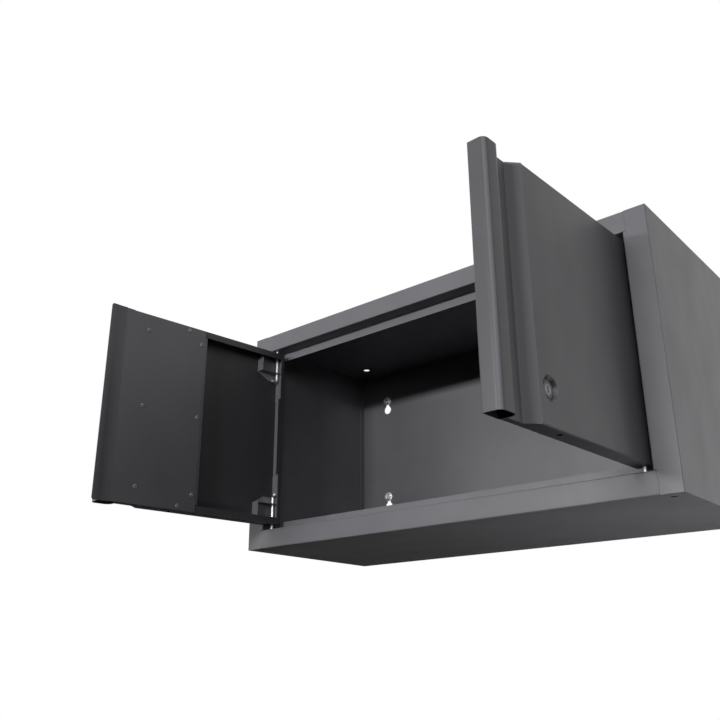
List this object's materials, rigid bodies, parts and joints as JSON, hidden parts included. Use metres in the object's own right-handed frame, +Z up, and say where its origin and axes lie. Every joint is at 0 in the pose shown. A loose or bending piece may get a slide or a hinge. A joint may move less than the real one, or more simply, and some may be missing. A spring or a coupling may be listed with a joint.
{
  "type": "wall-mounted storage cabinet",
  "caption": "Low wall-mounted sheet-metal storage cabinet with inset double doors, finger channels along their edges, a cam lock and sprung hinge pins, hung on wall screws.",
  "frame": {"origin": "middle of the cabinet's back, in the plane of the wall that it hangs on", "axes": "+Y runs into the wall, so the doors face -Y; +X runs to the right for someone who faces the doors; +Z is up"},
  "size_m": [0.6804, 0.5875, 0.35],
  "materials": {
    "case_coat": "satin powder coat",
    "door_coat": "satin powder coat",
    "inner_coat": "satin powder coat",
    "zinc": "bright zinc plate",
    "plug_steel": "satin",
    "rivet_steel": "coated",
    "spring_steel": "bright wire"
  },
  "bodies": {
    "case": {"side_panel_left": "case_coat", "side_panel_right": "case_coat", "top_panel": "case_coat", "bottom_panel": "case_coat", "back_panel": "case_coat", "wall_screws": "zinc", "wall_washers": "zinc"},
    "left_door": {"left_door_skin": "door_coat", "left_inner_panel": "inner_coat", "left_stiffeners": "inner_coat", "left_meeting_strip": "door_coat", "left_rivets": "rivet_steel", "left_bracket_top": "inner_coat", "left_bracket_bottom": "inner_coat", "left_spring_top": "spring_steel", "left_spring_bottom": "spring_steel"},
    "right_door": {"right_door_skin": "door_coat", "right_inner_panel": "inner_coat", "right_stiffeners": "inner_coat", "right_rivets": "rivet_steel", "right_bracket_top": "inner_coat", "right_bracket_bottom": "inner_coat", "lock_housing": "zinc", "lock_nut": "zinc", "right_spring_top": "spring_steel", "right_spring_bottom": "spring_steel"},
    "lock_cam": {"lock_plug": "plug_steel", "lock_cam": "zinc", "cam_screw": "zinc"},
    "left_pin_top": {"left_pin_top": "zinc"},
    "left_pin_bottom": {"left_pin_bottom": "zinc"},
    "right_pin_top": {"right_pin_top": "zinc"},
    "right_pin_bottom": {"right_pin_bottom": "zinc"}
  },
  "joints": [
    {"name": "left_door_hinge", "type": "hinge", "parent": "case", "child": "left_door", "pos_m": [-0.297, -0.2715, 0], "axis": [0, 0, -1], "range_deg": [-97, 10]},
    {"name": "right_door_hinge", "type": "hinge", "parent": "case", "child": "right_door", "pos_m": [0.297, -0.2715, 0], "axis": [0, 0, 1], "range_deg": [-87.5, 19.5]},
    {"name": "lock_turn", "type": "hinge", "parent": "right_door", "child": "lock_cam", "pos_m": [0.28797, -0.4783, -0.101], "axis": [-0.999, 0.0436, 0], "range_deg": [0, 90]},
    {"name": "left_pin_top_slide", "type": "slide", "parent": "left_door", "child": "left_pin_top", "axis": [0, 0, -1], "range_m": [0, 0.007], "stiffness_N_per_m": 400, "springref_m": -0.005, "deforming": ["left_spring_top"]},
    {"name": "left_pin_bottom_slide", "type": "slide", "parent": "left_door", "child": "left_pin_bottom", "axis": [0, 0, 1], "range_m": [0, 0.007], "stiffness_N_per_m": 400, "springref_m": -0.005, "deforming": ["left_spring_bottom"]},
    {"name": "right_pin_top_slide", "type": "slide", "parent": "right_door", "child": "right_pin_top", "axis": [0, 0, -1], "range_m": [0, 0.007], "stiffness_N_per_m": 400, "springref_m": -0.005, "deforming": ["right_spring_top"]},
    {"name": "right_pin_bottom_slide", "type": "slide", "parent": "right_door", "child": "right_pin_bottom", "axis": [0, 0, 1], "range_m": [0, 0.007], "stiffness_N_per_m": 400, "springref_m": -0.005, "deforming": ["right_spring_bottom"]}
  ]
}
